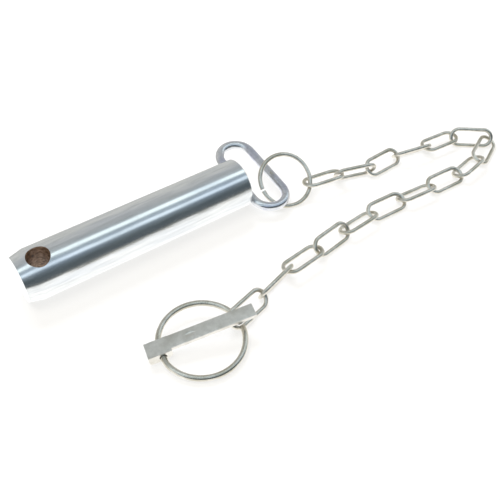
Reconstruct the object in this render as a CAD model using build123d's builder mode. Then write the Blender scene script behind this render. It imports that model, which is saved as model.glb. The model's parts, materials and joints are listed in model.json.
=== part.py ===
from build123d import *
from math import asin, atan2, cos, degrees, radians, sin, sqrt
import os

os.makedirs("parts", exist_ok=True)

# ---------------------------------------------------------------------------
# Driving dimensions, in mm and degrees. +X runs along the pin to its handle,
# +Z is up, and the origin is the centre of the cross hole, on the pin's axis.
# The floor is one pin radius below it.
# ---------------------------------------------------------------------------

# pin
PIN_DIA = 28.6
PIN_LENGTH = 135.8
TIP_CHAMFER = 7.6          # along the axis
TIP_STEP = 1.75            # across it
END_CHAMFER = 0.5
HOLE_DIA = 12.5
HOLE_TO_TIP = 12.0
HOLE_LEAN = 13.7           # from upright, towards -Y

# handle
HANDLE_WIRE = 5.2
HANDLE_LENGTH = 59.9
HANDLE_WIDTH = 25.7
HANDLE_DROP = 4.6          # its wire's run over the pin's end face, under the axis
HANDLE_SHIFT = 5.0         # its middle, from that face's middle away from the low end
HANDLE_CUT = 0.8           # opening between the wire's two ends, in the weld
WELD_LENGTH = 20.0
WELD_SIZE = 1.5
WELD_TAPER = 30.0

# chain
LINK_WIRE = 2.4
LINK_LENGTH = 28.25
LINK_WIDTH = 12.6
RING_WIRE = 2.6
RING_DIA = 33.3
PLAY = 0.3                 # air where one wire hangs in another

# linch pin
LINCH_WIRE = 3.1
LINCH_RING_DIA = 46.1
LINCH_FLAT = 4.0           # half the ring's straight stretch
LINCH_SHOULDER = 12.0      # bend at each end of it, to the wire's middle
LINCH_CUT = 2.0            # opening in the ring, where the last link went on
LINCH_CUT_TURN = 3.0       # its middle, round from the ring's far side
BAR_LENGTH = 56.7
BAR_WIDTH = 7.4
BAR_HEIGHT = 4.0
BAR_ROUND = 2.2            # lower long edges
BAR_EDGE = 0.4             # upper long edges and the tip
HEAD_WIDTH = 8.8
HEAD_HEIGHT = 6.2
HEAD_LENGTH = 9.0
HEAD_SLOPE = 3.0
HEAD_ROUND = 1.4           # lower edge of the head's end
EYE_OFF = 7.1              # hole's centre, from the head's end
EYE_AIR = 0.4              # hole's radius over the ring wire's
DENT_OFF = 23.0            # stamped dent's centre, from the head's end
DENT_LENGTH = 5.0
DENT_WIDTH = 2.6
DENT_DEPTH = 0.3

# settling of a hanging piece: places tried over its slack, then halvings
TRIES = 16
HALVINGS = 24

FLOOR = -PIN_DIA / 2

# How the pieces lie: heading from +X and roll (left side up), in degrees. A lift is
# the height of a link's lowest side over the floor, where its neighbours carry it.
RING_HEADING = -13.8
RING_OUT = 2.9             # its centre, past the handle's outer side
RING_IN = 10.9             # and from the handle's low end
RING_RISE = 0.7            # height of its wire over the floor, under the handle
RING_ROLLS = (10, 60)      # it stands on its right side, clear of the handle in between
HOOK_TURN = -18.0          # where on the ring the first link hangs
FIRST_LAY = (-6, -14, -3)  # heading, roll and pitch of the first link
LINK_LAY = [               # heading, roll and lift of the others
    (-17, -68, 0), (3, 40, 0), (-11, -48, 0), (-4, 0, 3.5), (-38, 56, 0),
    (-154, -24, 0), (-168, 25, 0), (178, -27, 0), (176, 27, 0), (178, -27, 0),
    (-175, 27, 0), (-171, -50, 0), (-173, 12, 3.0), (-163, 66, 0), (-165, -46, 0),
]
TURN_LINK = 5              # entry of the link that hangs on the side of its neighbour's bow
TURN_SIDE = 3.5            # how far left of that bow's middle its own bow is
LINCH_HEADING = -12.5
LINCH_RISE = 0.55          # air under its ring's wire, over the last link's
LINCH_LIFT = 0.5           # height of its ring's low side, where the pin's head carries it
LINCH_HANG = 14.0          # where on its ring the last link hangs
BAR_SIDE = 2.1             # the bar's middle, left of the ring's
BAR_LIFT = 2.4             # air between it and the ring's far side, where the last link carries it

# ---------------------------------------------------------------------------
# Wire loops
# ---------------------------------------------------------------------------


def lay(heading, roll, pitch=0.0):
    """A plane at the origin: x along the heading, its left side raised by the roll."""
    ahead = Vector(cos(radians(heading)), sin(radians(heading)), 0)
    left = Vector(-sin(radians(heading)), cos(radians(heading)), 0)
    level = Vector(0, 0, 1)
    along = ahead * cos(radians(pitch)) + level * sin(radians(pitch))
    over = level * cos(radians(pitch)) - ahead * sin(radians(pitch))
    return Plane((0, 0, 0), x_dir=along, z_dir=over * cos(radians(roll)) - left * sin(radians(roll)))


def oval_path(plane, length, width, wire):
    """Middle line of a closed oval loop, its long axis along the plane's x."""
    bow = (width - wire) / 2
    run = (length - wire) / 2 - bow
    with BuildLine(plane) as path:
        Line((-run, -bow), (run, -bow))
        CenterArc((run, 0), bow, -90, 180)
        Line((run, bow), (-run, bow))
        CenterArc((-run, 0), bow, 90, 180)
    return path.wire()


def linch_path(plane):
    """Middle line of the linch ring: round, with a straight stretch at its low x side."""
    radius = (LINCH_RING_DIA - LINCH_WIRE) / 2
    shoulder_x = -sqrt((radius - LINCH_SHOULDER) ** 2 - LINCH_FLAT ** 2)
    bend = degrees(atan2(LINCH_FLAT, shoulder_x))
    half_cut = degrees(LINCH_CUT / 2 / radius)
    with BuildLine(plane) as path:
        CenterArc((0, 0), radius, LINCH_CUT_TURN + half_cut, bend - LINCH_CUT_TURN - half_cut)
        CenterArc((shoulder_x, LINCH_FLAT), LINCH_SHOULDER, bend, 180 - bend)
        Line((shoulder_x - LINCH_SHOULDER, LINCH_FLAT), (shoulder_x - LINCH_SHOULDER, -LINCH_FLAT))
        CenterArc((shoulder_x, -LINCH_FLAT), LINCH_SHOULDER, 180, 180 - bend)
        CenterArc((0, 0), radius, -bend, bend + LINCH_CUT_TURN - half_cut)
    return path.wire()


def sweep_wire(path, wire):
    """Round wire of the given diameter along a path."""
    with BuildPart() as body:
        with BuildSketch(Plane(path @ 0, z_dir=path % 0)):
            Circle(wire / 2)
        sweep(path=path)
    return body.part


def hang(child, parent, start, ahead, low, high, between):
    """Where a child's middle comes when it is pulled along `ahead` up to its parent's wire.

    The child's path is drawn about the origin. It hangs free somewhere between `low` and
    `high` from `start`, and is pulled towards `high` until `between` is left."""

    def gap(way):
        return child.moved(Location(start + ahead * way)).distance_to(parent)

    tries = [low + (high - low) * step / TRIES for step in range(TRIES * 3 // 4)]
    inner = max(tries, key=gap)
    outer = high
    for _ in range(HALVINGS):
        middle = (inner + outer) / 2
        if gap(middle) >= between:
            inner = middle
        else:
            outer = middle
    return start + ahead * inner


# ---------------------------------------------------------------------------
# Pin
# ---------------------------------------------------------------------------
PIN_R = PIN_DIA / 2
TIP_X = -HOLE_TO_TIP
FACE_X = TIP_X + PIN_LENGTH
hole_dir = Vector(0, -sin(radians(HOLE_LEAN)), cos(radians(HOLE_LEAN)))
hole_plane = Plane((0, 0, 0), x_dir=(1, 0, 0), z_dir=hole_dir)

with BuildPart() as pin_body:
    with BuildSketch(Plane.XZ):
        with BuildLine():
            Polyline(
                (TIP_X, 0),
                (TIP_X, PIN_R - TIP_STEP),
                (TIP_X + TIP_CHAMFER, PIN_R),
                (FACE_X - END_CHAMFER, PIN_R),
                (FACE_X, PIN_R - END_CHAMFER),
                (FACE_X, 0),
                close=True,
            )
        make_face()
    revolve(axis=Axis.X)
    with BuildSketch(hole_plane):
        Circle(HOLE_DIA / 2)
    extrude(amount=PIN_DIA, both=True, mode=Mode.SUBTRACT)
pin_body.part.label = "pin_body"
export_step(pin_body.part, "parts/pin_body.step")

# ---------------------------------------------------------------------------
# Handle: one wire bent to a loop, its cut on the side that is welded on
# ---------------------------------------------------------------------------
handle_bow = (HANDLE_WIDTH - HANDLE_WIRE) / 2
handle_run = (HANDLE_LENGTH - HANDLE_WIRE) / 2 - handle_bow
handle_reach = HANDLE_LENGTH / 2 - HANDLE_SHIFT - HANDLE_WIRE / 2
handle_low = HANDLE_WIRE / 2 + RING_WIRE + RING_RISE + PLAY
handle_tilt = asin((PIN_R - HANDLE_DROP - handle_low) / handle_reach)
handle_down = Vector(0, -cos(handle_tilt), -sin(handle_tilt))
handle_up = Vector(0, -sin(handle_tilt), cos(handle_tilt))
run_x = FACE_X + HANDLE_WIRE / 2
handle_centre = Vector(run_x + handle_bow, 0, -HANDLE_DROP) - handle_down * HANDLE_SHIFT
handle_plane = Plane(handle_centre, x_dir=handle_down, z_dir=handle_up)
first_end = HANDLE_SHIFT - HANDLE_CUT / 2

with BuildLine(handle_plane) as handle_path:
    Line((first_end + HANDLE_CUT, -handle_bow), (handle_run, -handle_bow))
    CenterArc((handle_run, 0), handle_bow, -90, 180)
    Line((handle_run, handle_bow), (-handle_run, handle_bow))
    CenterArc((-handle_run, 0), handle_bow, 90, 180)
    Line((-handle_run, -handle_bow), (first_end, -handle_bow))
weld_base = HANDLE_WIRE + 2 * WELD_SIZE

with BuildPart() as pin_handle:
    add(sweep_wire(handle_path.wire(), HANDLE_WIRE))
    with BuildSketch(Plane((FACE_X, 0, -HANDLE_DROP), x_dir=handle_down, z_dir=(1, 0, 0))):
        SlotOverall(WELD_LENGTH, weld_base)
    extrude(amount=HANDLE_WIRE / 2, taper=WELD_TAPER)
pin_handle.part.label = "pin_handle"
export_step(pin_handle.part, "parts/pin_handle.step")

# ---------------------------------------------------------------------------
# Ring through the handle
# ---------------------------------------------------------------------------
ring_radius = (RING_DIA - RING_WIRE) / 2
ring_x = run_x + 2 * handle_bow + RING_OUT
ring_y = RING_IN - handle_reach * cos(handle_tilt)


def lean_ring(roll):
    """The ring's plane and its wire's middle line, its low side on the floor."""
    plane = lay(RING_HEADING, roll)
    plane.origin = Vector(ring_x, ring_y, FLOOR + RING_WIRE / 2 + ring_radius * sin(radians(roll)))
    with BuildLine(plane) as path:
        CenterArc((0, 0), ring_radius, 0, 360)
    return plane, path.wire()


low_roll, high_roll = RING_ROLLS
for _ in range(HALVINGS):
    ring_roll = (low_roll + high_roll) / 2
    ring_gap = lean_ring(ring_roll)[1].distance_to(handle_path.wire())
    if ring_gap >= (RING_WIRE + HANDLE_WIRE) / 2 + PLAY:
        high_roll = ring_roll
    else:
        low_roll = ring_roll
ring_plane, ring_path = lean_ring(high_roll)

with BuildPart() as chain_ring:
    with Locations(ring_plane.location):
        Torus(ring_radius, RING_WIRE / 2)
chain_ring.part.label = "chain_ring"
export_step(chain_ring.part, "parts/chain_ring.step")

# ---------------------------------------------------------------------------
# Chain: each link is pulled out of the one before it until their wires near
# each other, and lies on the floor
# ---------------------------------------------------------------------------
link_bow = (LINK_WIDTH - LINK_WIRE) / 2
link_run = (LINK_LENGTH - LINK_WIRE) / 2 - link_bow
link_end = link_run + link_bow
link_planes = []
link_paths = []


def pull(plane, start, parent, between):
    """Hang a link that lies in the given plane on its parent and keep it."""
    shape = oval_path(plane, LINK_LENGTH, LINK_WIDTH, LINK_WIRE)
    centre = hang(shape, parent, start, plane.x_dir, link_run, link_end + link_bow, between)
    plane.origin = centre
    link_planes.append(plane)
    link_paths.append(shape.moved(Location(centre)))


hook = ring_plane.from_local_coords(
    Vector(cos(radians(HOOK_TURN)), sin(radians(HOOK_TURN)), 0) * ring_radius
)
pull(lay(*FIRST_LAY), hook, ring_path, (LINK_WIRE + RING_WIRE) / 2 + PLAY)
for index, (heading, roll, lift) in enumerate(LINK_LAY):
    last = link_planes[-1]
    plane = lay(heading, roll)
    start = last.origin + last.x_dir * link_run
    if index == TURN_LINK:
        start = start + lay(heading, 0).y_dir * TURN_SIDE
    start.Z = FLOOR + lift + LINK_WIRE / 2 + link_bow * abs(sin(radians(roll)))
    pull(plane, start, link_paths[-1], LINK_WIRE + PLAY)

for number, path in enumerate(link_paths, start=1):
    name = f"chain_link_{number:02d}"
    with BuildPart() as chain_link:
        add(sweep_wire(path, LINK_WIRE))
    chain_link.part.label = name
    export_step(chain_link.part, f"parts/{name}.step")

# ---------------------------------------------------------------------------
# Linch pin's ring, hung on the last link
# ---------------------------------------------------------------------------
linch_radius = (LINCH_RING_DIA - LINCH_WIRE) / 2
linch_side = linch_radius * sin(radians(LINCH_HANG))
linch_lean = asin((LINK_WIRE + PLAY + LINCH_RISE - LINCH_LIFT) / (linch_radius + linch_side))
linch_plane = lay(LINCH_HEADING, degrees(linch_lean))
away = linch_plane.from_local_coords(
    Vector(-cos(radians(LINCH_HANG)), -sin(radians(LINCH_HANG)), 0)
)
away.Z = 0
last = link_planes[-1]
linch_start = last.origin + last.x_dir * link_run
linch_start.Z = FLOOR + LINCH_LIFT + LINCH_WIRE / 2 + linch_radius * sin(linch_lean)
linch_plane.origin = hang(
    linch_path(linch_plane),
    link_paths[-1],
    linch_start,
    away.normalized(),
    linch_radius - link_bow,
    linch_radius + link_bow,
    (LINK_WIRE + LINCH_WIRE) / 2 + PLAY,
)

with BuildPart() as linch_ring:
    add(sweep_wire(linch_path(linch_plane), LINCH_WIRE))
linch_ring.part.label = "linch_ring"
export_step(linch_ring.part, "parts/linch_ring.step")

# ---------------------------------------------------------------------------
# Linch pin: its eye is on the ring's straight stretch, its shank over the far side
# ---------------------------------------------------------------------------
flat_x = LINCH_SHOULDER + sqrt((linch_radius - LINCH_SHOULDER) ** 2 - LINCH_FLAT ** 2)
shank_under = BAR_HEIGHT - HEAD_HEIGHT / 2
bar_over = shank_under + LINCH_WIRE / 2 + BAR_LIFT
bar_pitch = degrees(asin(bar_over / (flat_x + linch_radius - LINCH_WIRE)))
bar_plane = Plane(
    linch_plane.from_local_coords(Vector(-flat_x, BAR_SIDE, 0)),
    x_dir=linch_plane.x_dir * cos(radians(bar_pitch)) + linch_plane.z_dir * sin(radians(bar_pitch)),
    z_dir=linch_plane.z_dir * cos(radians(bar_pitch)) - linch_plane.x_dir * sin(radians(bar_pitch)),
)
bar_top = HEAD_HEIGHT / 2
bar_tip = BAR_LENGTH - EYE_OFF
head_end = HEAD_LENGTH - EYE_OFF
section_plane = Plane(bar_plane.origin, x_dir=bar_plane.y_dir, z_dir=bar_plane.x_dir)
side_plane = Plane(
    bar_plane.from_local_coords(Vector(0, BAR_WIDTH / 2, 0)),
    x_dir=bar_plane.x_dir,
    z_dir=-bar_plane.y_dir,
)
dent_plane = Plane(
    bar_plane.from_local_coords(Vector(DENT_OFF - EYE_OFF, 0, bar_top)),
    x_dir=bar_plane.x_dir,
    z_dir=bar_plane.z_dir,
)

with BuildPart() as linch_pin:
    with BuildSketch(section_plane):
        with Locations((0, bar_top - BAR_HEIGHT / 2)):
            Rectangle(BAR_WIDTH, BAR_HEIGHT)
    extrude(amount=bar_tip)
    along = Axis(bar_plane.origin, bar_plane.x_dir)
    fillet(linch_pin.edges().filter_by(along).sort_by(Axis.Z)[:2], BAR_ROUND)
    chamfer(linch_pin.edges().filter_by(along).sort_by(Axis.Z)[-2:], BAR_EDGE)
    with BuildSketch(side_plane) as side:
        with BuildLine():
            Polyline(
                (-EYE_OFF, bar_top),
                (-EYE_OFF, -bar_top),
                (head_end, -bar_top),
                (head_end + HEAD_SLOPE, -shank_under),
                (head_end + HEAD_SLOPE, bar_top),
                close=True,
            )
        make_face()
        fillet(side.vertices().group_by(Axis.X)[0].sort_by(Axis.Z)[:1], HEAD_ROUND)
    extrude(amount=HEAD_WIDTH)
    with BuildSketch(Plane(bar_plane.origin, x_dir=bar_plane.x_dir, z_dir=bar_plane.y_dir)):
        Circle(LINCH_WIRE / 2 + EYE_AIR)
    extrude(amount=HEAD_WIDTH, both=True, mode=Mode.SUBTRACT)
    with BuildSketch(dent_plane):
        SlotOverall(DENT_LENGTH, DENT_WIDTH)
    extrude(amount=-DENT_DEPTH, mode=Mode.SUBTRACT)
linch_pin.part.label = "linch_pin"
export_step(linch_pin.part, "parts/linch_pin.step")
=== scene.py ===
import json
from math import asin, atan2, cos, degrees, pi, radians, sin, sqrt

import bmesh
import bpy
import numpy as np
from bpy.props import FloatProperty, FloatVectorProperty, PointerProperty, StringProperty
from bpy.types import Operator, Panel, PropertyGroup
from mathutils import Matrix, Vector


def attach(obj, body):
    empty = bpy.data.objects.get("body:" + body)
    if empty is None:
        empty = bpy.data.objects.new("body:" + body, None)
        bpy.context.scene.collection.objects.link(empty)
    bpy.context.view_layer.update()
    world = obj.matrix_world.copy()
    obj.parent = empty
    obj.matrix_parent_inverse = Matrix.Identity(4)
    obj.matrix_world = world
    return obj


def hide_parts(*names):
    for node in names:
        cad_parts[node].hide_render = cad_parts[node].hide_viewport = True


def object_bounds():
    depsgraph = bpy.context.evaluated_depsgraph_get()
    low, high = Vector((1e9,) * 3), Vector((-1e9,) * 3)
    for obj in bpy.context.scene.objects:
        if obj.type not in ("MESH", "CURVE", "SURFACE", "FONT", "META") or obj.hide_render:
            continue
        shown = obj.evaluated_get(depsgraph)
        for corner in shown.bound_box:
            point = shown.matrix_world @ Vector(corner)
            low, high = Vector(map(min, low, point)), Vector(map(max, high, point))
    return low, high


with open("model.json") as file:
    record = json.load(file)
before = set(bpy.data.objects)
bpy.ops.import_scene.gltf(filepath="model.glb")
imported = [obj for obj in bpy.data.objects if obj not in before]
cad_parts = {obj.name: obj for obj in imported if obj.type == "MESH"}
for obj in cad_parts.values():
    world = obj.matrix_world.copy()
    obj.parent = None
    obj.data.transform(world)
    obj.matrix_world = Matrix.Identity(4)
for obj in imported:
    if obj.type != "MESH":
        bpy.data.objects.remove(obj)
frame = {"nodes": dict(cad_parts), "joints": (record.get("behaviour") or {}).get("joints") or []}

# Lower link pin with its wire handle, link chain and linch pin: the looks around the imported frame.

bl_info = {
    "name": "Lower link pin",
    "version": (1, 0, 0),
    "blender": (4, 5, 0),
    "location": "3D View > Sidebar > Link pin",
    "description": "Builds a zinc-plated lower link pin with its chain and linch pin",
    "category": "Object",
}

CAD_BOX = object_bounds()
JOINTS = {joint["name"]: joint for joint in frame["joints"]}
MM = 0.001
X_AXIS = Vector((1, 0, 0))
FACET_AIR = 0.03 * MM  # more than a facet lies off its true curve


# ---------------------------------------------------------------------------
# Sizes and colours
# ---------------------------------------------------------------------------


def mm(name, value, description):
    """A length property that is written in millimetres."""
    return FloatProperty(
        name=name, description=description, default=value * MM, unit="LENGTH", precision=5
    )


class PinSizes(PropertyGroup):
    diameter: mm("Diameter", 28.6, "Diameter of the shank")
    length: mm("Length", 135.8, "Length of the shank from tip to end face")
    tip_to_hole: mm("Tip to hole", 12, "From the tip to the cross hole's centre")
    tip_chamfer: mm("Tip chamfer", 7.6, "Length of the tip's chamfer along the pin")
    tip_step: mm("Tip step", 1.75, "Depth of the tip's chamfer across the pin")
    end_chamfer: mm("End chamfer", 0.5, "Chamfer at the handle's end")
    hole_diameter: mm("Hole", 12.5, "Diameter of the cross hole")
    hole_lean: FloatProperty(
        name="Hole lean",
        description="Lean of the cross hole from upright",
        default=radians(13.7),
        subtype="ANGLE",
    )
    rim: mm("Rim", 0.35, "Width of the broken edges")


class HandleSizes(PropertyGroup):
    wire: mm("Wire", 5.2, "Diameter of the handle's wire")
    length: mm("Length", 59.9, "Outside length of the loop")
    width: mm("Width", 25.7, "Outside width of the loop")
    drop: mm("Drop", 4.6, "Height of the welded run under the pin's axis")
    shift: mm("Shift", 5, "How far the loop's middle lies from the face's middle, away from the low end")
    cut: mm("Cut", 0.8, "Opening between the wire's two ends, in the weld")
    weld_length: mm("Weld length", 20, "Length of the weld along the wire")
    ring_wire: mm("Ring wire", 2.6, "Wire that the loop's low end lies over")
    ring_rise: mm("Ring rise", 0.7, "Height of that wire over the floor")
    play: mm("Play", 0.3, "Air between the loop and that wire")
    bead: mm("Bead", 1.5, "Width of the weld beside the wire")
    end_edge: mm("End edge", 0.35, "Broken edge of the wire's two ends")


class ChainSizes(PropertyGroup):
    wire: mm("Link wire", 2.4, "Diameter of the links' wire")
    length: mm("Link length", 28.25, "Outside length of a link")
    width: mm("Link width", 12.6, "Outside width of a link")
    ring_wire: mm("Ring wire", 2.6, "Diameter of the round ring's wire")
    ring_diameter: mm("Ring diameter", 33.3, "Outside diameter of the round ring")
    weld: mm("Weld", 0.9, "Length of the butt weld in a link's side")
    closing: mm("Closing", 0.15, "What the run behind the weld gives up so that the loop closes")
    swell_run: mm("Swell run", 0.25, "Length over which the wire swells to its butt weld")
    link_swell: FloatProperty(
        name="Link swell", description="Swelling of a link's butt weld", default=1.02
    )
    waist: FloatProperty(
        name="Waist", description="Narrowing in the middle of a link's weld", default=0.93
    )
    ring_weld: mm("Ring weld", 0.35, "Length of the butt weld in the round ring")
    ring_swell: FloatProperty(
        name="Ring swell", description="Swelling of the ring's butt weld", default=1.03
    )


class LinchSizes(PropertyGroup):
    wire: mm("Wire", 3.1, "Diameter of the ring's wire")
    ring_diameter: mm("Ring diameter", 46.1, "Outside diameter of the ring")
    flat: mm("Flat", 4.0, "Half the ring's straight stretch")
    shoulder: mm("Shoulder", 12.0, "Bend at each end of the straight stretch")
    cut: mm("Cut", 2.0, "Opening in the ring")
    cut_turn: FloatProperty(
        name="Cut turn",
        description="The opening's place round the ring",
        default=radians(3),
        subtype="ANGLE",
    )
    cut_edge: mm("Cut edge", 0.25, "Broken edge of the ring's two ends")
    bar_length: mm("Bar length", 56.7, "Length of the pin with its head")
    bar_width: mm("Bar width", 7.4, "Width of the shank")
    bar_height: mm("Bar height", 4, "Height of the shank")
    bar_round: mm("Bar round", 2.2, "Rounding of the shank's lower edges")
    bar_edge: mm("Bar edge", 0.4, "Broken upper edges")
    tip_edge: mm("Tip edge", 0.5, "Broken edges of the shank's tip")
    rim: mm("Rim", 0.3, "Broken edges of the head, the eye and the dent")
    head_width: mm("Head width", 8.8, "Width of the head")
    head_height: mm("Head height", 6.2, "Height of the head")
    head_length: mm("Head length", 9, "Length of the head")
    head_slope: mm("Head slope", 3, "Run-out from the head to the shank")
    head_round: mm("Head round", 1.4, "Rounding under the head's end")
    eye_offset: mm("Eye offset", 7.1, "From the head's end to the eye's centre")
    eye_air: mm("Eye air", 0.4, "Air round the wire in the eye")
    dent_offset: mm("Dent offset", 23, "From the head's end to the dent's centre")
    dent_length: mm("Dent length", 5, "Length of the pressed dent")
    dent_width: mm("Dent width", 2.6, "Width of the pressed dent")
    dent_depth: mm("Dent depth", 0.3, "Depth of the pressed dent")
    rise: mm("Rise", 2.4, "Air between the shank and the ring's far side")


class StageSizes(PropertyGroup):
    camera_place: FloatVectorProperty(
        name="Camera",
        description="Place of the camera",
        default=(-0.0508, -0.26346, 0.2667),
        subtype="TRANSLATION",
    )
    camera_turn: FloatVectorProperty(
        name="Camera turn",
        description="Turn of the camera",
        default=(radians(44.3), 0, radians(-34.7)),
        subtype="EULER",
    )
    lens: FloatProperty(
        name="Lens", description="Focal length on a 36 mm sensor", default=50.4, unit="CAMERA"
    )
    floor_colour: StringProperty(name="Floor", description="sRGB colour of the floor", default="FEFEFD")
    floor_lift: FloatProperty(
        name="Floor lift",
        description="Share of plain white in the floor that is seen",
        default=0.7,
        subtype="FACTOR",
    )
    floor_shine: FloatProperty(
        name="Floor shine", description="Strength of the floor that metal mirrors", default=1.45
    )
    fill: FloatProperty(name="Fill", description="Strength of the world's fill light", default=0.55)
    window: FloatProperty(name="Window", description="Strength of the tent's windows", default=1.7)
    tent_radius: FloatProperty(
        name="Tent radius", description="Radius of the tent", default=0.5, unit="LENGTH"
    )
    tent_length: FloatProperty(
        name="Tent length", description="Length of the tent and of the cloths", default=2.4, unit="LENGTH"
    )
    tent_middle: FloatProperty(
        name="Tent middle", description="Middle of the tent along the pin", default=0.2, unit="LENGTH"
    )


# ---------------------------------------------------------------------------
# Mesh helpers
# ---------------------------------------------------------------------------


def rest_hands():
    """Leave edit mode and select nothing."""
    if bpy.context.object and bpy.context.object.mode != "OBJECT":
        bpy.ops.object.mode_set(mode="OBJECT")
    bpy.ops.object.select_all(action="DESELECT")


def hold(piece):
    """Select one piece alone and make it active."""
    rest_hands()
    piece.select_set(True)
    bpy.context.view_layer.objects.active = piece


def pick(piece, test, kind="FACE"):
    """In edit mode, select the vertices, edges or faces whose middle and normal pass the test."""
    bpy.ops.mesh.select_mode(type=kind)
    bpy.ops.mesh.select_all(action="DESELECT")
    cage = bmesh.from_edit_mesh(piece.data)
    if kind == "VERT":
        for vert in cage.verts:
            vert.select_set(test(vert.co, vert.normal))
    if kind == "EDGE":
        for edge in cage.edges:
            ends = edge.verts
            edge.select_set(test((ends[0].co + ends[1].co) / 2, (ends[1].co - ends[0].co).normalized()))
    if kind == "FACE":
        for face in cage.faces:
            face.select_set(test(face.calc_center_median(), face.normal))
    cage.select_flush_mode()
    bmesh.update_edit_mesh(piece.data)


def add_modifier(piece, kind, **settings):
    """Add one modifier with its settings and apply it."""
    hold(piece)
    modifier = piece.modifiers.new(kind.lower(), kind)
    for key, value in settings.items():
        setattr(modifier, key, value)
    bpy.ops.object.modifier_apply(modifier=modifier.name)


def cut_with(piece, tool, operation="DIFFERENCE"):
    """Boolean the tool into the piece and remove the tool."""
    add_modifier(piece, "BOOLEAN", operation=operation, object=tool, solver="EXACT")
    bpy.data.objects.remove(tool)


def break_edges(piece, width, sharp, segments=2):
    """Break every edge that turns by more than the angle, in degrees."""
    add_modifier(
        piece, "BEVEL", width=width, segments=segments, limit_method="ANGLE", angle_limit=radians(sharp)
    )


def settle(piece, place, sharp=35):
    """Give the piece its place in its mesh, with its object at the origin, and smooth it."""
    hold(piece)
    piece.matrix_world = place
    bpy.ops.object.transform_apply(location=True, rotation=True, scale=True)
    bpy.ops.object.shade_smooth_by_angle(angle=radians(sharp))


def plane_matrix(origin, x_dir, z_dir):
    """The matrix of a plane from its origin, its x direction and its normal."""
    z = z_dir.normalized()
    y = z.cross(x_dir).normalized()
    x = y.cross(z)
    matrix = Matrix((x, y, z)).transposed().to_4x4()
    matrix.translation = origin
    return matrix


def bend_wire(name, diameter, plan, start=(0, 0), heading=0.0, closed=True, sides=20, arc_step=7.5):
    """A round wire bent in the XY plane, as a bender would: straight runs, bends and swells.

    The plan's rows are ("run", length), ("bend", radius, angle) with a left bend positive,
    and ("swell", length, scale). It starts at `start`, going along `heading`."""
    rest_hands()
    place = Vector((start[0], start[1], 0))
    bpy.ops.mesh.primitive_circle_add(
        vertices=sides, radius=diameter / 2, location=place, rotation=(pi / 2, 0, heading + pi / 2)
    )
    piece = bpy.context.object
    piece.name = name
    bpy.ops.object.transform_apply(location=True, rotation=True, scale=True)
    bpy.ops.object.mode_set(mode="EDIT")
    bpy.ops.mesh.select_all(action="SELECT")
    for step in plan:
        ahead = Vector((cos(heading), sin(heading), 0))
        if step[0] == "bend":
            radius, angle = step[1:]
            side = 1 if angle > 0 else -1
            centre = place + Vector((-sin(heading), cos(heading), 0)) * radius * side
            bpy.ops.mesh.spin(
                steps=max(2, round(abs(degrees(angle)) / arc_step)),
                angle=-angle,
                center=centre,
                axis=(0, 0, 1),
            )
            place = centre + Matrix.Rotation(angle, 3, "Z") @ (place - centre)
            heading += angle
            continue
        bpy.ops.mesh.extrude_region_move(TRANSFORM_OT_translate={"value": ahead * step[1]})
        place = place + ahead * step[1]
        if step[0] == "swell":
            bpy.ops.transform.resize(value=(step[2],) * 3, center_override=place)
    bpy.ops.mesh.select_all(action="SELECT")
    if closed:
        bpy.ops.mesh.remove_doubles(threshold=0.02 * MM)
    else:
        bpy.ops.mesh.select_mode(type="VERT")
        bpy.ops.mesh.select_all(action="DESELECT")
        bpy.ops.mesh.select_non_manifold()
        bpy.ops.mesh.fill_holes(sides=0)
    bpy.ops.mesh.select_all(action="SELECT")
    bpy.ops.mesh.normals_make_consistent(inside=False)
    bpy.ops.object.mode_set(mode="OBJECT")
    return piece


def copy_piece(piece, name):
    """A copy with its own mesh."""
    twin = piece.copy()
    twin.data = piece.data.copy()
    twin.name = name
    bpy.context.scene.collection.objects.link(twin)
    return twin


def lie_of(node):
    """Middle, long axis and normal of a CAD wire loop, from the area of its mesh."""
    mesh = frame["nodes"][node].data
    mesh.calc_loop_triangles()
    points = np.array([vert.co for vert in mesh.vertices])
    corners = points[np.array([triangle.vertices for triangle in mesh.loop_triangles])]
    areas = np.linalg.norm(np.cross(corners[:, 1] - corners[:, 0], corners[:, 2] - corners[:, 0]), axis=1)
    middles = corners.mean(1)
    middle = (middles * areas[:, None]).sum(0) / areas.sum()
    away = middles - middle
    spread = (away * areas[:, None]).T @ away
    axes = np.linalg.eigh(spread)[1]
    return Vector(middle), Vector(axes[:, 2]), Vector(axes[:, 0])


def finish_faces(piece, material, test):
    """Give the faces that pass the test, by middle and normal, a finish of their own."""
    piece.data.materials.append(material)
    for face in piece.data.polygons:
        if test(face.center, face.normal):
            face.material_index = len(piece.data.materials) - 1


def finish_piece(piece, node, body, material):
    """Give a piece its finish and its body, and let it stand for its CAD node."""
    piece.data.materials.clear()
    piece.data.materials.append(material)
    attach(piece, body)
    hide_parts(node)


# ---------------------------------------------------------------------------
# Finishes
# ---------------------------------------------------------------------------


def linear(code):
    """Linear RGBA of an sRGB hex colour."""
    channels = [int(code[i : i + 2], 16) / 255 for i in (0, 2, 4)]
    return [c / 12.92 if c <= 0.04045 else ((c + 0.055) / 1.055) ** 2.4 for c in channels] + [1.0]


def node(tree, kind, settings=None, **inputs):
    """Add a node, set its settings, and set or link its inputs by name."""
    made = tree.nodes.new(kind)
    for key, value in (settings or {}).items():
        setattr(made, key, value)
    for key, value in inputs.items():
        if key.startswith("input_"):
            socket = made.inputs[int(key[6:])]
        else:
            socket = made.inputs[key.replace("_", " ")]
        if isinstance(value, bpy.types.NodeSocket):
            tree.links.new(value, socket)
        else:
            socket.default_value = value
    return made


def ramp(tree, factor, stops):
    """A colour ramp over (position, hex) stops."""
    made = node(tree, "ShaderNodeValToRGB", Fac=factor)
    points = made.color_ramp.elements
    while len(points) < len(stops):
        points.new(0.5)
    for point, (position, code) in zip(points, stops):
        point.position = position
        point.color = linear(code)
    return made.outputs["Color"]


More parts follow.
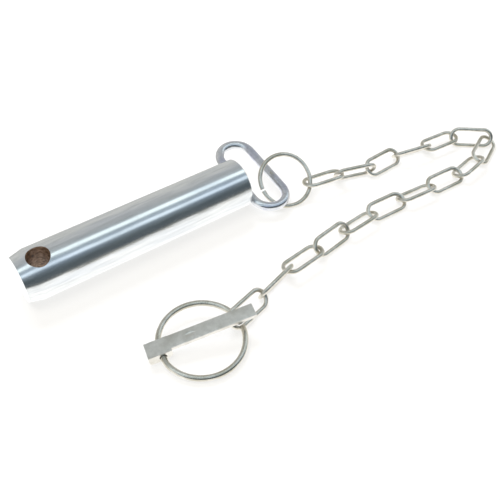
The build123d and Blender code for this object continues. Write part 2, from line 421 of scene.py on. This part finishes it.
def new_material(name):
    """An empty node material and its shader."""
    material = bpy.data.materials.new(name)
    material.use_nodes = True
    tree = material.node_tree
    tree.nodes.clear()
    shader = node(tree, "ShaderNodeBsdfPrincipled")
    output = node(tree, "ShaderNodeOutputMaterial", Surface=shader.outputs["BSDF"])
    output.is_active_output = True
    return material, tree, shader


def zinc_plate(name, stops, roughness, mottle_mm, grain_mm, bump, tint, tint_share, stretch=(1, 1, 1)):
    """Bright zinc electroplate on steel: a grey metal with cloudy, slightly tinted passivation.

    Clouds are mottle_mm wide and handling marks grain_mm. A scale under 1 in the stretch draws
    both out along that axis."""
    material, tree, shader = new_material(name)
    place = node(tree, "ShaderNodeTexCoord").outputs["Object"]
    place = node(tree, "ShaderNodeMapping", Vector=place, Scale=stretch).outputs["Vector"]
    cloud = node(
        tree, "ShaderNodeTexNoise", Vector=place, Scale=1 / (mottle_mm * MM), Detail=4.0, Roughness=0.6
    ).outputs["Fac"]
    grain = node(
        tree, "ShaderNodeTexNoise", Vector=place, Scale=1 / (grain_mm * MM), Detail=3.0, Roughness=0.7
    ).outputs["Fac"]
    patch = node(
        tree, "ShaderNodeTexNoise", Vector=place, Scale=0.35 / (mottle_mm * MM), Detail=2.0
    ).outputs["Fac"]
    base = ramp(tree, cloud, stops)
    spots = node(tree, "ShaderNodeMapRange", Value=patch, From_Min=0.45, From_Max=0.65, To_Max=tint_share)
    tinted = node(
        tree,
        "ShaderNodeMix",
        {"data_type": "RGBA"},
        Factor=spots.outputs["Result"],
        input_6=base,
        input_7=linear(tint),
    )
    dull = node(
        tree, "ShaderNodeMapRange", Value=grain, To_Min=roughness - 0.05, To_Max=roughness + 0.08
    )
    rough = node(tree, "ShaderNodeBump", Height=grain, Strength=bump, Distance=0.05 * MM)
    tree.links.new(tinted.outputs[2], shader.inputs["Base Color"])
    tree.links.new(dull.outputs["Result"], shader.inputs["Roughness"])
    tree.links.new(rough.outputs["Normal"], shader.inputs["Normal"])
    shader.inputs["Metallic"].default_value = 1.0
    return material


def drilled_steel(name):
    """Drilled steel that the plate hardly reached: brown, dull and ringed by the drill."""
    material, tree, shader = new_material(name)
    place = node(tree, "ShaderNodeTexCoord").outputs["Object"]
    film = node(tree, "ShaderNodeTexNoise", Vector=place, Scale=1 / (1.6 * MM), Detail=4.0).outputs["Fac"]
    rings = node(
        tree, "ShaderNodeTexNoise", Vector=place, Scale=1 / (0.5 * MM), Detail=2.0, Roughness=0.7
    ).outputs["Fac"]
    rust = ramp(tree, film, [(0.32, "54402F"), (0.5, "94775F"), (0.7, "BEA58E")])
    rough = node(tree, "ShaderNodeBump", Height=rings, Strength=0.4, Distance=0.08 * MM)
    tree.links.new(rust, shader.inputs["Base Color"])
    tree.links.new(rough.outputs["Normal"], shader.inputs["Normal"])
    shader.inputs["Metallic"].default_value = 0.4
    shader.inputs["Roughness"].default_value = 0.45
    return material


FINISHES = {}


def make_finishes():
    """The zinc plates of the pin, its handle, the chain and the linch pin."""
    # drawn and ground shank: smooth plate, soft mirror, with fine lines and clouds along the bar
    FINISHES["pin"] = zinc_plate(
        "zinc_drawn_shank",
        [(0.3, "CACCCD"), (0.5, "D6D8D8"), (0.7, "E0E1E1")],
        roughness=0.17,
        mottle_mm=2.4,
        grain_mm=0.35,
        bump=0.1,
        tint="C2C8D2",
        tint_share=0.35,
        stretch=(0.12, 1, 1),
    )
    # inside of the cross hole
    FINISHES["bore"] = drilled_steel("drilled_bore")
    # drawn wire, bent and welded: cloudier plate with a violet cast
    FINISHES["handle"] = zinc_plate(
        "zinc_bent_wire",
        [(0.3, "C0C2C5"), (0.7, "DADBDD")],
        roughness=0.24,
        mottle_mm=4,
        grain_mm=0.4,
        bump=0.25,
        tint="B4B6CC",
        tint_share=0.5,
    )
    # weld bead: rough plate over ripples
    FINISHES["bead"] = zinc_plate(
        "zinc_weld_bead",
        [(0.3, "8C8F92"), (0.7, "B4B6B8")],
        roughness=0.42,
        mottle_mm=2,
        grain_mm=0.35,
        bump=0.6,
        tint="9C9682",
        tint_share=0.4,
    )
    # chain wire: dull plate gone olive-grey in patches from tumbling
    FINISHES["chain"] = zinc_plate(
        "zinc_chain_wire",
        [(0.3, "C0BCB2"), (0.7, "DAD6CC")],
        roughness=0.27,
        mottle_mm=3,
        grain_mm=0.35,
        bump=0.35,
        tint="A29C86",
        tint_share=0.5,
    )
    # spring wire of the rings
    FINISHES["ring"] = zinc_plate(
        "zinc_spring_wire",
        [(0.3, "BEBAB0"), (0.7, "D6D2C8")],
        roughness=0.26,
        mottle_mm=4,
        grain_mm=0.35,
        bump=0.25,
        tint="A09A84",
        tint_share=0.45,
    )
    # sheared wire ends, nearly bare, darkened further by painted shade of the shadowed cut faces
    FINISHES["cut"] = zinc_plate(
        "painted_shade_wire_end",
        [(0.3, "3E3A36"), (0.7, "6A645C")],
        roughness=0.45,
        mottle_mm=1,
        grain_mm=0.3,
        bump=0.6,
        tint="5A4634",
        tint_share=0.6,
    )
    # forged bar: matt plate with a fine orange-peel from the scale under it
    FINISHES["linch"] = zinc_plate(
        "zinc_forged_bar",
        [(0.3, "CECBC4"), (0.7, "E0DDD6")],
        roughness=0.33,
        mottle_mm=2.6,
        grain_mm=0.4,
        bump=0.5,
        tint="B8B4A8",
        tint_share=0.5,
    )


# ---------------------------------------------------------------------------
# Pieces
# ---------------------------------------------------------------------------


class LINKPIN_OT_shank(Operator):
    """Turn the pin's shank, drill its cross hole and break its edges"""

    bl_idname = "linkpin.shank"
    bl_label = "Shank"

    def execute(self, context):
        sizes = context.scene.linkpin_pin
        radius = sizes.diameter / 2
        tip = radius - sizes.tip_step
        rest_hands()
        bpy.ops.mesh.primitive_circle_add(
            vertices=128,
            radius=tip,
            fill_type="NGON",
            location=(-sizes.tip_to_hole, 0, 0),
            rotation=(0, pi / 2, 0),
        )
        piece = context.object
        piece.name = "pin_shank"
        bpy.ops.object.transform_apply(location=True, rotation=True, scale=True)
        bpy.ops.object.mode_set(mode="EDIT")
        bpy.ops.mesh.select_all(action="SELECT")
        # an edge ring a little past the hole, so that the long faces behind it stay plain
        past_hole = sizes.tip_to_hole - sizes.tip_chamfer + sizes.hole_diameter * 0.8
        rows = [
            (sizes.tip_chamfer, radius / tip),
            (past_hole, 1.0),
            (sizes.length - sizes.tip_chamfer - past_hole - sizes.end_chamfer, 1.0),
            (sizes.end_chamfer, (radius - sizes.end_chamfer) / radius),
        ]
        x = -sizes.tip_to_hole
        for step, scale in rows:
            x += step
            bpy.ops.mesh.extrude_region_move(TRANSFORM_OT_translate={"value": (step, 0, 0)})
            bpy.ops.transform.resize(value=(1, scale, scale), center_override=(x, 0, 0))
        bpy.ops.mesh.select_all(action="SELECT")
        bpy.ops.mesh.normals_make_consistent(inside=False)
        rest_hands()
        bpy.ops.mesh.primitive_cylinder_add(
            vertices=96,
            radius=sizes.hole_diameter / 2,
            depth=sizes.diameter * 2,
            rotation=(sizes.hole_lean, 0, 0),
        )
        cut_with(piece, context.object)
        break_edges(piece, sizes.rim, 24, segments=3)
        settle(piece, Matrix.Identity(4), 30)
        add_modifier(piece, "WEIGHTED_NORMAL", keep_sharp=True)
        finish_piece(piece, "pin_body", "pin", FINISHES["pin"])
        axis = Vector((0, -sin(sizes.hole_lean), cos(sizes.hole_lean)))
        reach = sizes.hole_diameter / 2 + FACET_AIR

        def in_bore(co, normal):
            return (co - axis * co.dot(axis)).length < reach and abs(normal.dot(axis)) < 0.1

        finish_faces(piece, FINISHES["bore"], in_bore)
        return {"FINISHED"}


def handle_place(pin, sizes):
    """Plane of the handle's loop: x down along it, z square to it."""
    low = sizes.wire / 2 + sizes.ring_wire + sizes.ring_rise + sizes.play
    reach = sizes.length / 2 - sizes.shift - sizes.wire / 2
    tilt = asin((pin.diameter / 2 - sizes.drop - low) / reach)
    down = Vector((0, -cos(tilt), -sin(tilt)))
    up = Vector((0, -sin(tilt), cos(tilt)))
    face = pin.length - pin.tip_to_hole
    middle = Vector((face + sizes.width / 2, 0, -sizes.drop)) - down * sizes.shift
    return plane_matrix(middle, down, up), down, face


# rise and inset of the weld bead's layers from the face up, in mm
BEAD_LAYERS = ((0.5, 0.1), (0.6, 0.35), (0.6, 0.6), (0.5, 0.9))


class LINKPIN_OT_handle(Operator):
    """Bend the handle's wire to its loop and lay the weld bead at its root"""

    bl_idname = "linkpin.handle"
    bl_label = "Handle"

    def execute(self, context):
        pin = context.scene.linkpin_pin
        sizes = context.scene.linkpin_handle
        bow = (sizes.width - sizes.wire) / 2
        run = (sizes.length - sizes.wire) / 2 - bow
        first = sizes.shift - sizes.cut / 2
        place, down, face = handle_place(pin, sizes)
        piece = bend_wire(
            "handle_wire",
            sizes.wire,
            [
                ("run", run - first - sizes.cut),
                ("bend", bow, pi),
                ("run", 2 * run),
                ("bend", bow, pi),
                ("run", run + first),
            ],
            start=(first + sizes.cut, -bow),
            closed=False,
            sides=40,
            arc_step=5,
        )
        break_edges(piece, sizes.end_edge, 60)
        settle(piece, place)
        finish_piece(piece, "pin_handle", "pin", FINISHES["handle"])

        half = sizes.weld_length / 2
        base = sizes.wire / 2 + sizes.bead
        rest_hands()
        bpy.ops.mesh.primitive_circle_add(vertices=72, radius=base)
        bead = context.object
        bead.name = "handle_weld_bead"
        bpy.ops.object.mode_set(mode="EDIT")
        pick(bead, lambda co, normal: co.x > 0, "VERT")
        bpy.ops.transform.translate(value=(half - base, 0, 0))
        pick(bead, lambda co, normal: co.x < 0, "VERT")
        bpy.ops.transform.translate(value=(base - half, 0, 0))
        bpy.ops.mesh.select_all(action="SELECT")
        level = 0.0
        for rise, inset in BEAD_LAYERS:
            level += rise * MM
            bpy.ops.mesh.extrude_region_move(TRANSFORM_OT_translate={"value": (0, 0, rise * MM)})
            shrink = (1 - inset * MM / half, 1 - inset * MM / base, 1)
            bpy.ops.transform.resize(value=shrink, center_override=(0, 0, level))
        bpy.ops.mesh.select_all(action="DESELECT")
        bpy.ops.mesh.select_mode(type="VERT")
        bpy.ops.mesh.select_non_manifold()
        bpy.ops.mesh.fill_holes(sides=0)
        bpy.ops.mesh.select_all(action="SELECT")
        bpy.ops.mesh.normals_make_consistent(inside=False)
        rest_hands()
        settle(bead, plane_matrix(Vector((face, 0, -sizes.drop)), down, X_AXIS))
        finish_piece(bead, "pin_handle", "pin", FINISHES["bead"])
        return {"FINISHED"}


class LINKPIN_OT_chain(Operator):
    """Bend and weld the round ring and the links, and hang them where they lie"""

    bl_idname = "linkpin.chain"
    bl_label = "Chain"

    def execute(self, context):
        sizes = context.scene.linkpin_chain
        radius = (sizes.ring_diameter - sizes.ring_wire) / 2
        ring = bend_wire(
            "round_ring",
            sizes.ring_wire,
            [
                ("bend", radius, radians(178)),
                ("swell", sizes.swell_run, sizes.ring_swell),
                ("run", sizes.ring_weld),
                ("swell", sizes.swell_run, 1 / sizes.ring_swell),
                ("bend", radius, radians(180)),
            ],
            start=(0, -radius),
            sides=24,
            arc_step=4,
        )
        turn = JOINTS["ring_turn"]
        normal = Vector(turn["axis"])
        settle(ring, plane_matrix(Vector(turn["pos_m"]), X_AXIS.cross(normal), normal))
        finish_piece(ring, "chain_ring", "chain_ring", FINISHES["ring"])

        bow = (sizes.width - sizes.wire) / 2
        run = (sizes.length - sizes.wire) / 2 - bow
        side = run - sizes.weld / 2
        seed = bend_wire(
            "link",
            sizes.wire,
            [
                ("run", side - sizes.swell_run),
                ("swell", sizes.swell_run, sizes.link_swell),
                ("run", sizes.weld * 0.4),
                ("swell", sizes.weld * 0.05, sizes.waist),
                ("swell", sizes.weld * 0.05, 1 / sizes.waist),
                ("run", sizes.weld * 0.4),
                ("swell", sizes.swell_run, 1 / sizes.link_swell),
                ("run", side - sizes.closing),
                ("bend", bow, pi),
                ("run", 2 * run),
                ("bend", bow, pi),
            ],
            start=(-run, -bow),
            sides=20,
        )
        for name in sorted(frame["nodes"]):
            if not name.startswith("chain_link"):
                continue
            link = copy_piece(seed, name.replace("chain_link", "link"))
            middle, along, normal = lie_of(name)
            if normal.z < 0:
                normal = -normal
            if int(name[-2:]) % 3 == 0:
                along = -along
            settle(link, plane_matrix(middle, along, normal))
            finish_piece(link, name, name, FINISHES["chain"])
        bpy.data.objects.remove(seed)
        return {"FINISHED"}


def linch_ring_place():
    """Plane of the linch pin's ring: x from the eye to the far side."""
    swing = JOINTS["linch_ring_swing"]
    flip = JOINTS["linch_pin_flip"]
    normal = Vector(swing["axis"])
    left = -Vector(flip["axis"])
    return plane_matrix(Vector(swing["pos_m"]), left.cross(normal), normal)


class LINKPIN_OT_linch_ring(Operator):
    """Bend the linch pin's ring with its straight stretch and its opening"""

    bl_idname = "linkpin.linch_ring"
    bl_label = "Linch ring"

    def execute(self, context):
        sizes = context.scene.linkpin_linch
        radius = (sizes.ring_diameter - sizes.wire) / 2
        shoulder_x = -sqrt((radius - sizes.shoulder) ** 2 - sizes.flat ** 2)
        bend = atan2(sizes.flat, shoulder_x)
        half_cut = sizes.cut / 2 / radius
        first = sizes.cut_turn + half_cut
        piece = bend_wire(
            "linch_wire",
            sizes.wire,
            [
                ("bend", radius, bend - first),
                ("bend", sizes.shoulder, pi - bend),
                ("run", 2 * sizes.flat),
                ("bend", sizes.shoulder, pi - bend),
                ("bend", radius, bend + sizes.cut_turn - half_cut),
            ],
            start=(radius * cos(first), radius * sin(first)),
            heading=first + pi / 2,
            closed=False,
            sides=28,
            arc_step=4,
        )
        break_edges(piece, sizes.cut_edge, 60)
        settle(piece, linch_ring_place())
        ring = linch_ring_place()
        middle, ahead = ring.translation, ring.col[0].to_3d()

        across = ahead.cross(ring.col[2].to_3d())

        def at_end(co, normal):
            return (co - middle).dot(ahead) > radius * 0.9 and abs(normal.dot(across)) > 0.9

        finish_piece(piece, "linch_ring", "linch_ring", FINISHES["ring"])
        # the ring's two cut end faces get the dark finish: painted shade of their shadowed faces
        finish_faces(piece, FINISHES["cut"], at_end)
        return {"FINISHED"}


class LINKPIN_OT_linch_bar(Operator):
    """Forge the linch pin: a D-shaped shank with a wider, drilled head"""

    bl_idname = "linkpin.linch_bar"
    bl_label = "Linch bar"

    def execute(self, context):
        sizes = context.scene.linkpin_linch
        top = sizes.head_height / 2
        under = sizes.bar_height - top
        tip = sizes.bar_length - sizes.eye_offset
        root = sizes.head_length - sizes.eye_offset
        radius = (sizes.ring_diameter - sizes.wire) / 2
        flat_x = sizes.shoulder + sqrt((radius - sizes.shoulder) ** 2 - sizes.flat ** 2)
        pitch = asin((under + sizes.wire / 2 + sizes.rise) / (flat_x + radius - sizes.wire))

        rest_hands()
        bpy.ops.mesh.primitive_cube_add(size=1, location=(tip / 2, 0, (top - under) / 2))
        piece = context.object
        piece.name = "linch_bar"
        piece.scale = (tip, sizes.bar_width, sizes.bar_height)
        bpy.ops.object.transform_apply(location=True, rotation=True, scale=True)
        bpy.ops.object.mode_set(mode="EDIT")
        pick(piece, lambda co, way: abs(way.x) > 0.9 and co.z < 0, "EDGE")
        bpy.ops.mesh.bevel(offset=sizes.bar_round, segments=6, affect="EDGES")
        pick(piece, lambda co, way: abs(way.x) > 0.9 and co.z > top - 0.1 * MM, "EDGE")
        bpy.ops.mesh.bevel(offset=sizes.bar_edge, segments=2, affect="EDGES")
        pick(piece, lambda co, way: co.x > tip - 0.01 * MM and abs(way.x) < 0.1, "EDGE")
        bpy.ops.mesh.bevel(offset=sizes.tip_edge, segments=2, affect="EDGES")

        rest_hands()
        bpy.ops.mesh.primitive_plane_add(size=1)
        head = context.object
        head.name = "linch_head"
        bpy.ops.object.mode_set(mode="EDIT")
        cage = bmesh.from_edit_mesh(head.data)
        side = sizes.bar_width / 2
        corners = [
            (-sizes.eye_offset, -top),
            (root, -top),
            (root + sizes.head_slope, -under),
            (root + sizes.head_slope, top),
            (-sizes.eye_offset, top),
        ]
        bmesh.ops.delete(cage, geom=cage.verts[:], context="VERTS")
        outline = cage.faces.new([cage.verts.new((x, side, z)) for x, z in corners])
        outline.select_set(True)
        bmesh.update_edit_mesh(head.data)
        bpy.ops.mesh.extrude_region_move(TRANSFORM_OT_translate={"value": (0, -sizes.head_width, 0)})
        bpy.ops.mesh.select_all(action="SELECT")
        bpy.ops.mesh.normals_make_consistent(inside=False)
        pick(
            head,
            lambda co, way: abs(way.y) > 0.9 and co.x < -sizes.eye_offset + 0.01 * MM and co.z < 0,
            "EDGE",
        )
        bpy.ops.mesh.bevel(offset=sizes.head_round, segments=5, affect="EDGES")
        rest_hands()
        cut_with(piece, head, "UNION")

        bpy.ops.mesh.primitive_cylinder_add(
            vertices=48,
            radius=sizes.wire / 2 + sizes.eye_air,
            depth=sizes.head_width * 4,
            rotation=(pi / 2, 0, 0),
        )
        cut_with(piece, context.object)
        rest_hands()
        bpy.ops.mesh.primitive_uv_sphere_add(
            segments=32, ring_count=16, location=(sizes.dent_offset - sizes.eye_offset, 0, top)
        )
        punch = context.object
        punch.scale = (sizes.dent_length / 2, sizes.dent_width / 2, sizes.dent_depth)
        bpy.ops.object.transform_apply(location=True, rotation=True, scale=True)
        cut_with(piece, punch)
        break_edges(piece, sizes.rim, 40)

        ring = linch_ring_place()
        along = ring.col[0].to_3d() * cos(pitch) + ring.col[2].to_3d() * sin(pitch)
        over = ring.col[2].to_3d() * cos(pitch) - ring.col[0].to_3d() * sin(pitch)
        eye = Vector(JOINTS["linch_pin_flip"]["pos_m"])
        settle(piece, plane_matrix(eye, along, over), 32)
        add_modifier(piece, "WEIGHTED_NORMAL", keep_sharp=True)
        finish_piece(piece, "linch_pin", "linch_pin", FINISHES["linch"])
        return {"FINISHED"}


# ---------------------------------------------------------------------------
# Stage
# ---------------------------------------------------------------------------


def add_lamp(name, place, aim, size, power, colour):
    """A soft square lamp that faces a point."""
    data = bpy.data.lights.new(name, "AREA")
    data.shape = "RECTANGLE"
    data.size, data.size_y = size
    data.energy = power
    data.color = linear(colour)[:3]
    lamp = bpy.data.objects.new(name, data)
    lamp.visible_glossy = False
    bpy.context.scene.collection.objects.link(lamp)
    lamp.location = place
    lamp.rotation_euler = (Vector(aim) - Vector(place)).to_track_quat("-Z", "Y").to_euler()


def seen_rays(tree):
    """1 for camera, glossy and transmission rays, so that metal shows the background too."""
    path = node(tree, "ShaderNodeLightPath")
    seen = path.outputs["Is Camera Ray"]
    for kind in ("Is Glossy Ray", "Is Transmission Ray"):
        seen = node(
            tree, "ShaderNodeMath", {"operation": "MAXIMUM"}, input_0=seen, input_1=path.outputs[kind]
        ).outputs[0]
    return seen


def only_mirrored(card):
    """Keep a studio card out of sight: metal mirrors it, and it neither lights nor shades."""
    card.visible_camera = False
    card.visible_diffuse = False
    card.visible_shadow = False
    card.visible_transmission = False


TENT_SIDE = 92  # how far round the tent comes on either side, in degrees from straight up
TENT_SPAN = 95  # and how far its colours are laid out
# the tent's cloth and its two windows: degrees from straight up towards the front, and colour there
TENT_CLOTH = (
    (-91, "B2B2B0"),
    (-60, "ACADAC"),
    (-40, "A4A6A7"),
    (-25, "989B9C"),
    (-4, "90969A"),
    (-1, "EDF9FD"),
    (11, "EDF9FD"),
    (15, "8A969E"),
    (29, "8C98A4"),
    (33, "DCEAF4"),
    (41, "D4E2EE"),
    (46, "707C86"),
    (55, "60696F"),
    (68, "4A5256"),
    (91, "50565A"),
)
# cloths on the floor behind and in front of the pin: name, near and far Y, and colour
CLOTHS = (
    ("back_cloth", 0.036, 0.5, "D6D7D4"),
    ("front_cloth", -0.13, -0.5, "868884"),
)
CLOTH_LIFT = 0.2 * MM


def add_tent(sizes):
    """A light tent along the pin: grey cloth with two long windows and a dark front, only mirrored."""
    rest_hands()
    bpy.ops.mesh.primitive_cylinder_add(
        vertices=240,
        radius=sizes.tent_radius,
        depth=sizes.tent_length,
        end_fill_type="NOTHING",
        location=(sizes.tent_middle, 0, 0),
        rotation=(0, pi / 2, 0),
    )
    tent = bpy.context.object
    tent.name = "photo_tent"
    bpy.ops.object.transform_apply(location=True, rotation=True, scale=True)
    bpy.ops.object.mode_set(mode="EDIT")
    pick(tent, lambda co, normal: abs(atan2(-co.y, co.z)) > radians(TENT_SIDE))
    bpy.ops.mesh.delete(type="FACE")
    rest_hands()
    material, tree, shader = new_material("tent_windows")
    tree.nodes.remove(shader)
    place = node(tree, "ShaderNodeTexCoord").outputs["Object"]
    axes = node(tree, "ShaderNodeSeparateXYZ", Vector=place)
    front = node(tree, "ShaderNodeMath", {"operation": "MULTIPLY"}, input_0=axes.outputs["Y"], input_1=-1.0)
    turn = node(
        tree,
        "ShaderNodeMath",
        {"operation": "ARCTAN2"},
        input_0=front.outputs[0],
        input_1=axes.outputs["Z"],
    )
    share = node(
        tree,
        "ShaderNodeMapRange",
        Value=turn.outputs[0],
        From_Min=radians(-TENT_SPAN),
        From_Max=radians(TENT_SPAN),
    )
    stops = [((angle / TENT_SPAN + 1) / 2, code) for angle, code in TENT_CLOTH]
    colour = ramp(tree, share.outputs["Result"], stops)
    glow = node(tree, "ShaderNodeEmission", Color=colour, Strength=sizes.window)
    tree.links.new(glow.outputs["Emission"], tree.get_output_node("ALL").inputs["Surface"])
    tent.data.materials.append(material)
    only_mirrored(tent)


def add_cloth(sizes, floor_z, name, near, far, colour):
    """A grey cloth on the floor from one Y to another, for metal to mirror along its outline."""
    rest_hands()
    middle = (sizes.tent_middle, (near + far) / 2, floor_z + CLOTH_LIFT)
    bpy.ops.mesh.primitive_plane_add(size=1, location=middle)
    cloth = bpy.context.object
    cloth.name = name
    cloth.scale = (sizes.tent_length, abs(far - near), 1)
    bpy.ops.object.transform_apply(location=True, rotation=True, scale=True)
    material, tree, shader = new_material(name)
    tree.nodes.remove(shader)
    glow = node(tree, "ShaderNodeEmission", Color=linear(colour), Strength=1.0)
    tree.links.new(glow.outputs["Emission"], tree.get_output_node("ALL").inputs["Surface"])
    cloth.data.materials.append(material)
    only_mirrored(cloth)


class LINKPIN_OT_stage(Operator):
    """Lay the floor, set the camera and light the stage softly"""

    bl_idname = "linkpin.stage"
    bl_label = "Stage"

    def execute(self, context):
        scene = context.scene
        sizes = scene.linkpin_stage
        floor_z = CAD_BOX[0][2]
        rest_hands()
        bpy.ops.mesh.primitive_plane_add(size=6, location=(0.12, -0.03, floor_z))
        floor = context.object
        floor.name = "floor"
        material, tree, shader = new_material("pale_floor")
        shader.inputs["Base Color"].default_value = linear(sizes.floor_colour)
        shader.inputs["Roughness"].default_value = 0.6
        shader.inputs["Specular IOR Level"].default_value = 0.0
        mirrored = node(tree, "ShaderNodeLightPath").outputs["Is Glossy Ray"]
        shine = node(tree, "ShaderNodeMapRange", Value=mirrored, To_Min=1.0, To_Max=sizes.floor_shine)
        glow = node(
            tree,
            "ShaderNodeEmission",
            Color=linear(sizes.floor_colour),
            Strength=shine.outputs["Result"],
        )
        lift = node(tree, "ShaderNodeMapRange", Value=seen_rays(tree), To_Max=sizes.floor_lift)
        share = node(
            tree,
            "ShaderNodeMath",
            {"operation": "MAXIMUM"},
            input_0=lift.outputs["Result"],
            input_1=mirrored,
        )
        lifted = node(tree, "ShaderNodeMixShader", Fac=share.outputs[0])
        tree.links.new(shader.outputs["BSDF"], lifted.inputs[1])
        tree.links.new(glow.outputs["Emission"], lifted.inputs[2])
        tree.links.new(lifted.outputs["Shader"], tree.get_output_node("ALL").inputs["Surface"])
        floor.data.materials.append(material)
        add_tent(sizes)
        for cloth in CLOTHS:
            add_cloth(sizes, floor_z, *cloth)

        camera_data = bpy.data.cameras.new("camera")
        camera_data.sensor_width = 36
        camera_data.lens = sizes.lens
        camera_data.clip_start = 0.01
        camera = bpy.data.objects.new("camera", camera_data)
        scene.collection.objects.link(camera)
        camera.location = sizes.camera_place
        camera.rotation_euler = sizes.camera_turn
        scene.camera = camera

        aim = (0.1, -0.03, 0)
        add_lamp("back_softbox", (0.2, 0.45, 0.6), aim, (0.5, 0.3), 5.5, "EEF3FF")
        add_lamp("top_softbox", (-0.15, -0.1, 0.9), aim, (0.6, 0.4), 4, "FFFFFF")

        world = bpy.data.worlds.new("studio")
        scene.world = world
        world.use_nodes = True
        tree = world.node_tree
        tree.nodes.clear()
        fill = node(tree, "ShaderNodeBackground", Color=linear("FFF3E0"), Strength=sizes.fill)
        white = node(tree, "ShaderNodeBackground", Color=linear("FFFFFF"), Strength=1.0)
        mixed = node(tree, "ShaderNodeMixShader", Fac=seen_rays(tree))
        tree.links.new(fill.outputs["Background"], mixed.inputs[1])
        tree.links.new(white.outputs["Background"], mixed.inputs[2])
        node(tree, "ShaderNodeOutputWorld", Surface=mixed.outputs["Shader"])

        scene.view_settings.view_transform = "Standard"
        return {"FINISHED"}


class LINKPIN_PT_panel(Panel):
    """Lists the pin's pieces in the sidebar"""

    bl_idname = "LINKPIN_PT_panel"
    bl_label = "Lower link pin"
    bl_space_type = "VIEW_3D"
    bl_region_type = "UI"
    bl_category = "Link pin"

    def draw(self, context):
        for operator in OPERATORS:
            self.layout.operator(operator.bl_idname)


GROUPS = {
    "linkpin_pin": PinSizes,
    "linkpin_handle": HandleSizes,
    "linkpin_chain": ChainSizes,
    "linkpin_linch": LinchSizes,
    "linkpin_stage": StageSizes,
}
OPERATORS = (
    LINKPIN_OT_shank,
    LINKPIN_OT_handle,
    LINKPIN_OT_chain,
    LINKPIN_OT_linch_ring,
    LINKPIN_OT_linch_bar,
    LINKPIN_OT_stage,
)


def register():
    for group in GROUPS.values():
        bpy.utils.register_class(group)
    for name, group in GROUPS.items():
        setattr(bpy.types.Scene, name, PointerProperty(type=group))
    for operator in OPERATORS:
        bpy.utils.register_class(operator)
    bpy.utils.register_class(LINKPIN_PT_panel)


def unregister():
    bpy.utils.unregister_class(LINKPIN_PT_panel)
    for operator in reversed(OPERATORS):
        bpy.utils.unregister_class(operator)
    for name in GROUPS:
        delattr(bpy.types.Scene, name)
    for group in reversed(list(GROUPS.values())):
        bpy.utils.unregister_class(group)


def main():
    """Build the pieces in order."""
    register()
    make_finishes()
    bpy.ops.linkpin.shank()
    bpy.ops.linkpin.handle()
    bpy.ops.linkpin.chain()
    bpy.ops.linkpin.linch_ring()
    bpy.ops.linkpin.linch_bar()
    bpy.ops.linkpin.stage()


if __name__ == "__main__":
    main()
